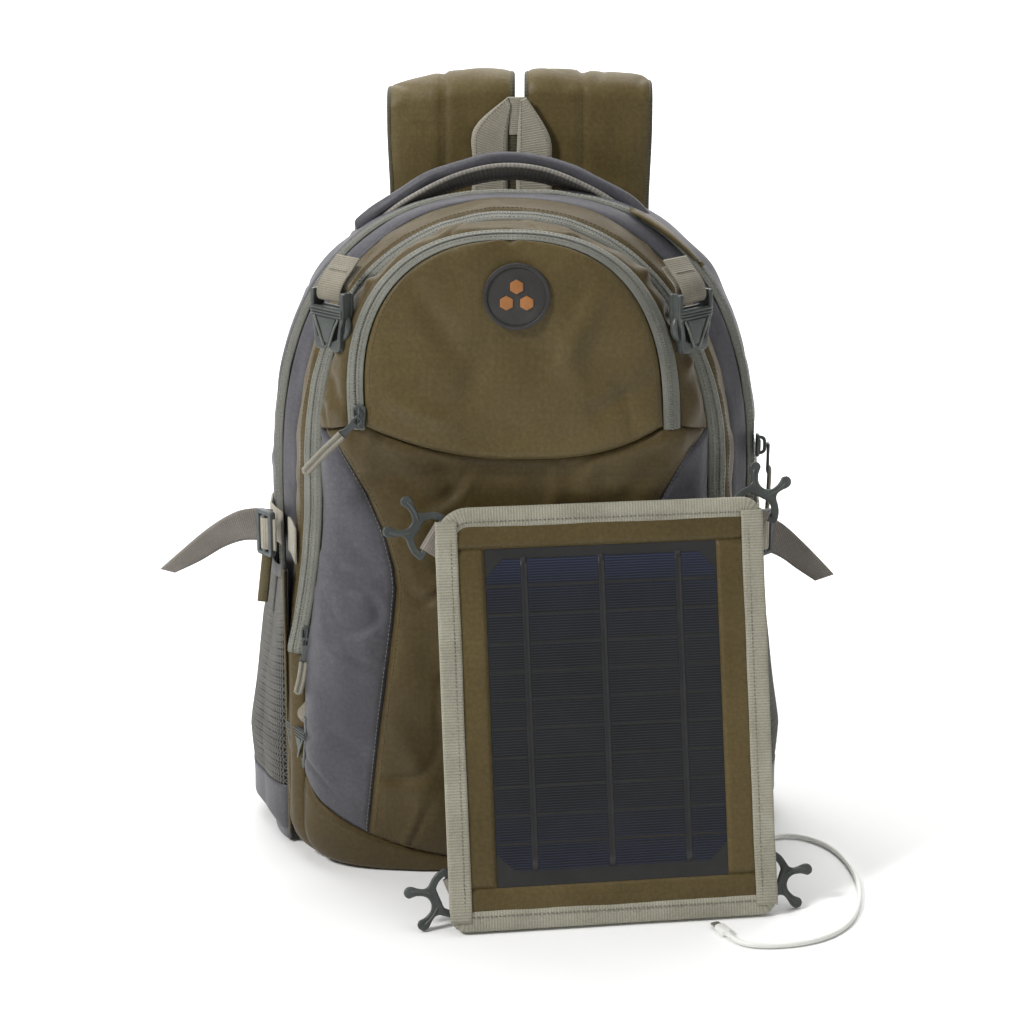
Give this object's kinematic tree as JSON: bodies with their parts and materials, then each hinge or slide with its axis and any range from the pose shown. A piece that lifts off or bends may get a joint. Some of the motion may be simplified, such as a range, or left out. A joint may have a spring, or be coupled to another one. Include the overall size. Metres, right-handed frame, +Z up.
{
  "type": "solar backpack",
  "caption": "Zipped backpack with side mesh pockets, padded straps and a detachable bound pouch that carries a solar sheet and a charging lead.",
  "frame": {"origin": "centre of the bag's base, on the plane that it stands on", "axes": "+Z up, the front of the bag faces -Y, +X to the viewer's right"},
  "size_m": [0.4898, 0.3468, 0.533],
  "materials": {
    "slate_fabric": "woven nylon",
    "olive_fabric": "woven nylon",
    "pad_mesh": "open mesh",
    "lining": "plain lining",
    "zip_tape": "woven zip tape with coil teeth",
    "webbing": "ribbed webbing",
    "badge_rubber": "moulded matt rubber",
    "grey_plastic": "moulded",
    "dark_plastic": "moulded",
    "solar_sheet": "laminated, slightly textured",
    "lead_sheath": "soft sheath"
  },
  "bodies": {
    "bag": {"main_compartment": "slate_fabric", "back_panel": "slate_fabric", "back_pads": "pad_mesh", "laptop_sleeve": "lining", "back_piping": "zip_tape", "top_band": "slate_fabric", "main_zip": "zip_tape", "front_compartment": "olive_fabric", "outer_zip": "zip_tape", "lower_front_panel": "olive_fabric", "crescent_left": "slate_fabric", "crescent_right": "slate_fabric", "base_panel": "olive_fabric", "front_pocket": "olive_fabric", "pocket_zip": "zip_tape", "mesh_pocket_left": "pad_mesh", "mesh_pocket_right": "pad_mesh", "pocket_elastics": "pad_mesh", "side_webbing": "webbing", "side_lock_left": "grey_plastic", "side_lock_right": "grey_plastic", "hang_loop": "webbing", "strap_root_left": "olive_fabric", "strap_root_right": "olive_fabric", "lower_webbing": "webbing", "strap_anchors": "olive_fabric", "buckle_webbing": "webbing"},
    "flap": {"pocket_flap": "olive_fabric", "flap_zip_tape": "zip_tape", "flap_badge": "badge_rubber"},
    "handle": {"haul_handle": "slate_fabric", "handle_webbing": "webbing"},
    "strap_left": {"shoulder_strap_left": "olive_fabric", "strap_lock_left": "grey_plastic"},
    "strap_right": {"shoulder_strap_right": "olive_fabric", "strap_lock_right": "grey_plastic"},
    "main_zip_slider": {"main_slider": "grey_plastic"},
    "main_zip_puller": {"main_puller": "grey_plastic"},
    "outer_zip_slider": {"outer_slider": "grey_plastic"},
    "outer_zip_puller": {"outer_puller": "grey_plastic"},
    "pocket_zip_slider": {"pocket_slider": "grey_plastic"},
    "pocket_zip_puller": {"pocket_puller": "grey_plastic"},
    "socket_upper_left": {"buckle_upper_left": "dark_plastic"},
    "socket_upper_right": {"buckle_upper_right": "dark_plastic"},
    "socket_lower_left": {"buckle_lower_left": "dark_plastic"},
    "socket_lower_right": {"buckle_lower_right": "dark_plastic"},
    "pouch": {"pouch_backing": "olive_fabric", "pouch_fabric": "olive_fabric", "pouch_binding": "webbing", "solar_laminate": "solar_sheet", "solar_cells": "solar_sheet", "junction_box": "dark_plastic", "clip_webbing": "webbing", "usb_plug": "dark_plastic", "charging_lead": "lead_sheath", "lead_plug": "lead_sheath"},
    "clip_tl": {"clip_top_left": "grey_plastic"},
    "clip_tr": {"clip_top_right": "grey_plastic"},
    "clip_bl": {"clip_bottom_left": "grey_plastic"},
    "clip_br": {"clip_bottom_right": "grey_plastic"}
  },
  "joints": [
    {"name": "flap_fold", "type": "hinge", "parent": "bag", "child": "flap", "pos_m": [0, -0.0842, 0.2995], "axis": [1, 0, 0], "range_deg": [0, 85]},
    {"name": "handle_swing", "type": "hinge", "parent": "bag", "child": "handle", "pos_m": [-0.01, 0.049, 0.433], "axis": [1, 0, 0], "range_deg": [-15, 15]},
    {"name": "strap_left_swing", "type": "hinge", "parent": "bag", "child": "strap_left", "pos_m": [-0.047, 0.119, 0.513], "axis": [1, 0, 0], "range_deg": [0, 25]},
    {"name": "strap_right_swing", "type": "hinge", "parent": "bag", "child": "strap_right", "pos_m": [0.052, 0.119, 0.513], "axis": [1, 0, 0], "range_deg": [0, 25]},
    {"name": "main_slider_run", "type": "slide", "parent": "bag", "child": "main_zip_slider", "axis": [0, 0, 1], "range_m": [-0.03, 0.02]},
    {"name": "main_puller_lift", "type": "hinge", "parent": "main_zip_slider", "child": "main_zip_puller", "pos_m": [0.1786, 0.0178, 0.28], "axis": [0, -1, 0], "range_deg": [0, 90]},
    {"name": "outer_slider_run", "type": "slide", "parent": "bag", "child": "outer_zip_slider", "axis": [0.1219, 0, 0.9925], "range_m": [0, 0.025]},
    {"name": "outer_puller_lift", "type": "hinge", "parent": "outer_zip_slider", "child": "outer_zip_puller", "pos_m": [-0.144, -0.0558, 0.16], "axis": [-0.9925, 0, 0.1219], "range_deg": [0, 100]},
    {"name": "pocket_slider_run", "type": "slide", "parent": "flap", "child": "pocket_zip_slider", "axis": [0, 0, 1], "range_m": [-0.012, 0.03]},
    {"name": "pocket_puller_lift", "type": "hinge", "parent": "pocket_zip_slider", "child": "pocket_zip_puller", "pos_m": [-0.1028, -0.0935, 0.327], "axis": [-0.6691, 0, 0.7431], "range_deg": [0, 100]},
    {"name": "socket_upper_left_swing", "type": "hinge", "parent": "bag", "child": "socket_upper_left", "pos_m": [-0.121, -0.064, 0.404], "axis": [-0.7071, 0.7071, 0], "range_deg": [0, 25]},
    {"name": "socket_upper_right_swing", "type": "hinge", "parent": "bag", "child": "socket_upper_right", "pos_m": [0.116, -0.0685, 0.404], "axis": [-0.7071, -0.7071, 0], "range_deg": [0, 25]},
    {"name": "socket_lower_left_swing", "type": "hinge", "parent": "bag", "child": "socket_lower_left", "pos_m": [-0.149, -0.048, 0.102], "axis": [-0.5, 0.866, 0], "range_deg": [0, 25]},
    {"name": "socket_lower_right_swing", "type": "hinge", "parent": "bag", "child": "socket_lower_right", "pos_m": [0.149, -0.048, 0.102], "axis": [-0.5, -0.866, 0], "range_deg": [0, 25]},
    {"name": "pouch_lift_off", "type": "slide", "parent": "bag", "child": "pouch", "axis": [0, -1, 0], "range_m": [0, 0.2]},
    {"name": "clip_tl_swing", "type": "hinge", "parent": "pouch", "child": "clip_tl", "pos_m": [-0.05469, -0.10586, 0.2496], "axis": [-0.5062, -0.3117, -0.8041], "range_deg": [0, 20]},
    {"name": "clip_tr_swing", "type": "hinge", "parent": "pouch", "child": "clip_tr", "pos_m": [0.16083, -0.07299, 0.25823], "axis": [-0.9003, 0.0037, 0.4353], "range_deg": [0, 40]},
    {"name": "clip_bl_swing", "type": "hinge", "parent": "pouch", "child": "clip_bl", "pos_m": [-0.04045, -0.17126, 0.02428], "axis": [0.3918, -0.2127, -0.8951], "range_deg": [0, 40]},
    {"name": "clip_br_swing", "type": "hinge", "parent": "pouch", "child": "clip_br", "pos_m": [0.16752, -0.14217, 0.0238], "axis": [0.3015, 0.3119, 0.901], "range_deg": [0, 40]}
  ]
}
